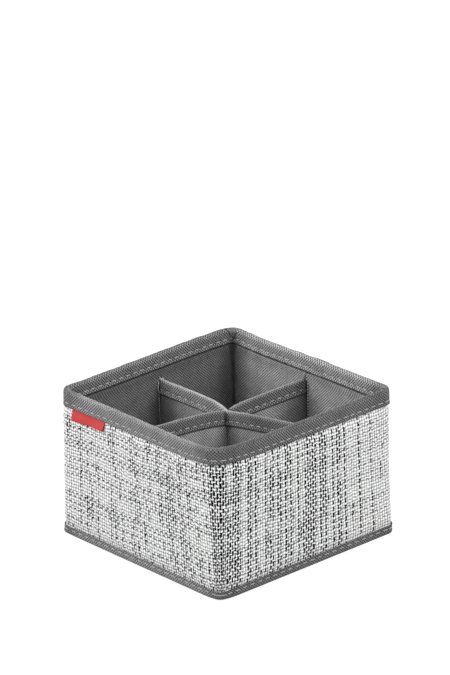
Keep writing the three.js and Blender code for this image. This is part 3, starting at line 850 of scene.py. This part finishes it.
def sew_seam():
    """The front left lining's edge is whipped with thread. Its light line in the left seam also stands in
    for the highlight on the seam's ridge.
    """
    top = wing_top("left", 1.0)
    up = np.arange(7, top, 2.6) + np.array([[0.0], [0.5]])
    beside = 2.3 + 0.6 * bump(up, top - 5.5, 2.6) - 1.3 * ease(up, top - 2.5, top)
    x = np.full_like(up, LINING_INSET + LINING_THICK + 1.45 - HALF)
    here, ahead = settle(np.stack([x, WINGS["left"]["end"][1] - beside, up], -1))
    outward = np.broadcast_to([1.0, 0.0, 0.0], here.shape)
    sew("left_seam_highlight_stitches", here, unit(ahead - here), outward, thicker=1.6)


def base_sheet(name, bottom, node_name, seed):
    """A flat sheet of the base, which the tapes hold down by its edge. Its corners are rounded."""
    half = HALF - COVER_INSET - 0.2
    step = np.linspace(-half, half, 121)
    square = np.stack(np.meshgrid(step, step))
    over = np.clip(np.abs(square) - (half - BASE_CORNER + COVER_INSET), 0, None)
    reach = np.hypot(*over)
    shrink = np.where(reach > 0, np.max(over, 0) / np.maximum(reach, 1e-9), 1)
    x, y = np.sign(square) * (np.abs(square) - over * (1 - shrink))
    lift = 0.05 * waves(x * 3, y, 40, seed)
    face = np.stack([x, y, bottom + LINING_THICK + lift], -1)[::-1]
    back = np.stack([x, y, np.full_like(x, bottom)], -1)[::6]
    uv = np.stack([x + STRAIGHT_RUN / 2, y + 100], -1)
    piece = shell(name, face, back, uv[::-1], uv[::6])
    dress(piece, LINING, "lining", node_name)


# The dividers


def wing_line(wing, part):
    """Places on a divider's line in plan, parts of the way from the crossing to the wall."""
    return np.array(CROSSING) + np.subtract(WINGS[wing]["end"], CROSSING) * part[:, None]


def divider_line(ahead, behind, start, steps):
    """Plan places, tops, lengths and ways across, along a divider from a part of its wings to its far
    wall. A divider with two wings is eased where they meet."""
    part = np.linspace(start, 1.0, steps)
    front = np.clip(part, 0, None)
    plan, top = wing_line(ahead, front), wing_top(ahead, front)
    if behind:
        rear = np.clip(-part, 0, None)
        plan = np.where(part[:, None] < 0, wing_line(behind, rear), plan)
        top = np.where(part < 0, wing_top(behind, rear), top)
        kernel = np.hanning(9) / np.hanning(9).sum()
        eased = [
            np.convolve(np.pad(column, 4, mode="edge"), kernel, mode="valid") for column in (*plan.T, top)
        ]
        plan[4:-4] = np.stack(eased[:2], -1)[4:-4]
        top = eased[2]
    length = np.concatenate([[0], np.cumsum(np.hypot(*np.diff(plan, axis=0).T))])
    way = unit(np.gradient(plan, axis=0))
    return plan, top, length, np.stack([-way[:, 1], way[:, 0]], -1)


def stand(line, across, down):
    """Places of a divider's rows: so far across its line, and so far down from its top."""
    plan, top, _, beside = line
    flat = plan[None] + beside[None] * across[..., None]
    return np.concatenate([flat, (top[None] - down)[..., None]], -1)


def divider_cover(name, line):
    """The cover, folded under the card: down one side, under, and up the other."""
    _, top, length, _ = line
    seed = DIVIDER_SEEDS[name]
    half = DIVIDER_HALF
    deep = top[None] - DIVIDER_BOTTOM
    down = DIVIDER_COVER_DROP + (deep - DIVIDER_COVER_DROP - half) * np.linspace(0, 1, 40)[:, None]
    slack = 0.14 * waves(length * 2, down, 42, seed) + 0.06 * waves(length, down, 13, seed + 1)
    slack = slack * np.sin(np.linspace(0.15, math.pi - 0.1, 40))[:, None]
    swell = 0.15 + 0.35 * ease(down, DIVIDER_TAPE_DROP + 0.6, DIVIDER_TAPE_DROP + 6)
    wide = half + swell * ease(deep - down, 1, 9)
    turn = np.linspace(0, math.pi, 7)[1:-1, None]
    under_down = deep - half + half * np.sin(turn)
    under_across = np.broadcast_to(half * np.cos(turn), under_down.shape)
    across = np.concatenate([wide + slack, under_across, -(wide - slack)[::-1]])
    down = np.concatenate([down, under_down, down[::-1]])
    thin = across - np.sign(across) * LINING_THICK
    back = stand(line, thin, down - LINING_THICK * 0.5)[::-3]
    marked = np.broadcast_to(length + MAP_STARTS[name][0], down.shape)
    mark = np.stack([marked, down - DIVIDER_TAPE_DROP], -1)
    cover = shell(f"{name}_divider_cloth", stand(line, across, down), back, mark, mark[::-3])
    dress(cover, LINING, "lining", f"{name}_divider_cover")


def divider_tape(name, line):
    """The tape: up one side, over the top edge, and down the other. Both ends are drawn thin where they
    go into a seam or meet the other tape."""
    length = line[2]
    half = DIVIDER_TAPE_HALF
    turn = np.linspace(0, math.pi, 11)[1:-1]
    leg = np.linspace(DIVIDER_TAPE_DROP, half, 14)
    looks = np.concatenate([np.zeros(14), turn, np.full(14, math.pi)])[:, None]
    drop = np.concatenate([leg, half - half * np.sin(turn), leg[::-1]])[:, None]
    way = distances(np.concatenate([np.cos(looks) * half, drop], -1))
    spread, along = np.meshgrid(length, way)
    out = stitched(along, spread + DIVIDER_SEEDS[name] * 7, way[-1], 0.9) * 0.8
    if name == "long":
        out = out + 0.9 * bump(spread, 1.9, 0.5)
    thin = 0.55 + 0.45 * ease(spread, 0, 5) * ease(length[-1] - spread, 0, 4)
    face, back = (
        stand(line, (half + move) * np.cos(looks) * thin, drop - move * np.sin(looks))
        for move in (out, out * 0.6 - TAPE_THICK)
    )
    mark = np.stack([spread + MAP_STARTS[name][1], along - way[-1] / 2], -1)
    tape = shell(f"{name}_divider_tape", face, back[::-3], mark, mark[::-3])
    dress(tape, TAPE, "tape", f"{name}_divider_binding")


def sew_divider(name, line):
    """The stitches on both sides of a divider's tape."""
    plan, top, length, beside = line
    spots = np.arange(3, length[-1] - 2, STITCH_PITCH)
    columns = (*plan.T, top - DIVIDER_TAPE_DROP + STITCH_FROM_EDGE, *beside.T, 0 * top)
    here, ahead = (
        np.stack([np.interp(spots + step, length, column) for column in columns], -1) for step in (0, 0.5)
    )
    side = np.concatenate([here[:, 3:], -here[:, 3:]])
    middles = np.concatenate([here[:, :3]] * 2) + side * (DIVIDER_TAPE_HALF - STITCH_SINK)
    forward = unit(np.concatenate([(ahead - here)[:, :3]] * 2))
    sew(f"{name}_divider_stitches", settle(middles), forward, unit(side))


def divider_card(name, line):
    """The card of a divider: a cut sheet of greyboard that follows the divider's line."""
    length = line[2]
    kept = (length > 2) & (length < length[-1] - 2)
    plan, top, length, beside = (part[kept] for part in line)
    cuts = [(0, -1 + 2 * cut / CARD_STRIPS) for cut in range(1, CARD_STRIPS)]
    card, places = card_block(f"{name}_divider_card", cuts)
    spot = (places[:, 0] + 1) / 2 * (length[-1] - length[0]) + length[0]
    columns = (*plan.T, *beside.T, top, top - DIVIDER_BOTTOM - BOARD_THICK / 2)
    x, y, side_x, side_y, high, deep = (np.interp(spot, length, column) for column in columns)
    off = places[:, 1] * BOARD_THICK / 2
    z = high - np.where(places[:, 2] > 0, DIVIDER_CARD_DROP, deep)
    bowed_card(card, np.stack([x + side_x * off, y + side_y * off, z], -1), f"{name}_divider_board")


def divider(name, ahead, behind):
    """One divider. A short one starts beside the long one's cover, and its tape beside the long one's."""
    steps = 190 if behind else 100
    reach = math.dist(CROSSING, WINGS[ahead]["end"])
    cover_start, tape_start = (
        -1.0 if behind else past / reach for past in (DIVIDER_HALF + 0.2, DIVIDER_TAPE_HALF + 0.15)
    )
    divider_cover(name, divider_line(ahead, behind, cover_start, steps))
    tape_line = divider_line(ahead, behind, tape_start, steps * 2)
    divider_tape(name, tape_line)
    sew_divider(name, tape_line)
    divider_card(name, divider_line(ahead, behind, cover_start, CARD_STRIPS))


# The label


def label():
    """A plain red tab, sewn in under the rim tape. Its free end stands a little off the tweed, and its
    right end is a folded edge."""
    part, down = np.meshgrid(np.linspace(0, 1, 44), np.linspace(0, 1, 20))
    x = LABEL_LEFT + (LABEL_RIGHT - LABEL_LEFT) * part - 0.6 * down * part
    z = LABEL_TOP - (LABEL_TOP - LABEL_BOTTOM - 1.7 * part) * down
    lifted = 0.55 * ease(down, 0.35, 1) + 0.95 * ease(part, 0.55, 1) * ease(down, 0.3, 0.9)
    y = -(HALF - COVER_INSET + 0.4) - cover_swell(z) - lifted - 0.1 * np.sin(part * 9) * down
    folded = 0.7 * ease(part, 0.85, 0.98) * ease(down, 0.2, 0.7)
    face, back = np.stack([x, y, z], -1), np.stack([x, y + 0.5 + folded, z], -1)[::-2]
    mark = np.stack([x, z], -1)
    piece = shell("plain_label", face, back, mark, mark[::-2])
    dress(piece, LABEL, "label", "side_label")


tweed_cover()
rim_tape()
base_tape()
lining_panels()
sew_seam()
base_sheet("base_lining_cloth", 3.35, "base_lining", 51)
base_sheet("base_cover_cloth", 0.65, "base_cover", 52)
divider("long", "right", "left")
divider("rear", "rear", None)
divider("front", "front", None)
wall_cards()
label()
bpy.data.objects["base_board"].data.materials.clear()
bpy.data.objects["base_board"].data.materials.append(CARD)


# The stage


def seen_as_white(add):
    """1 for what the camera sees, also in a gloss or through glass, and 0 for what lights the box."""
    path = add("LightPath").outputs
    mirrored = add("Math", [path["Is Glossy Ray"], path["Is Transmission Ray"]], "MAXIMUM")
    return add("Math", [path["Is Camera Ray"], mirrored], "MAXIMUM")


def floor():
    """A plain white floor. What the camera sees of it is lifted to white, less the object's own shadow."""
    bpy.ops.object.select_all(action="DESELECT")
    bpy.ops.mesh.primitive_plane_add(size=8)
    plane = bpy.context.active_object
    plane.name = "floor"
    material, add = blank_material("white_floor")
    paint = add("BsdfDiffuse", {"Color": "#808080"})
    glow = add("Emission", {"Color": "#ffffff", "Strength": 0.84})
    none = add("Emission", {"Color": "#000000", "Strength": 0.0})
    extra = add("MixShader", [seen_as_white(add), none, glow])
    add("OutputMaterial", [add("AddShader", [paint, extra])])
    plane.data.materials.append(material)


def look(thing, right, up, back, place):
    """Puts a lamp or a camera at a place, with its own right, up and back pointing these ways."""
    thing.matrix_world = Matrix([*zip(right, up, back, place), (0, 0, 0, 1)])


def lights():
    """Soft studio light: panels on both sides of the camera and above, and an even sky."""
    world = bpy.data.worlds.new("studio")
    bpy.context.scene.world = world
    world.use_nodes = True
    world.node_tree.nodes.clear()
    add = functools.partial(node, world.node_tree)
    sky = add("Background", {"Color": "#ffffff", "Strength": 0.36})
    white = add("Background", {"Color": "#ffffff", "Strength": 1.0})
    add("OutputWorld", [add("MixShader", [seen_as_white(add), sky, white])])
    for name, size, power, place in (
        ("left_panel", 1.4, 48.0, (-0.70, -1.92, 1.35)),
        ("right_panel", 1.3, 53.0, (2.00, 0.62, 1.60)),
        ("top_panel", 1.2, 14.0, (-0.1, 0.0, 2.0)),
    ):
        panel = bpy.data.lights.new(name, "AREA")
        panel.size = size
        panel.energy = power
        lamp = bpy.data.objects.new(name, panel)
        bpy.context.collection.objects.link(lamp)
        back = unit(np.subtract(place, (0, 0, 0.05)))
        right = unit(np.cross([0, 0, 1], back))
        look(lamp, right, np.cross(back, right), back, place)


def camera():
    """The photograph's view, as fitted to the box's edges in it."""
    lens = bpy.data.cameras.new("view")
    lens.lens = 269.10
    lens.sensor_width = 36
    lens.sensor_fit = "AUTO"
    lens.clip_end = 20
    eye = bpy.data.objects.new("view", lens)
    bpy.context.collection.objects.link(eye)
    right = (0.67090928, 0.74120721, -0.02219496)
    up = (-0.26752285, 0.26984865, 0.92499364)
    back = (0.69160123, -0.61464915, 0.37933383)
    look(eye, right, up, back, (2.1873263529, -1.94296239297, 1.3335279898))
    bpy.context.scene.camera = eye


floor()
lights()
camera()
bpy.context.scene.view_settings.view_transform = "Standard"
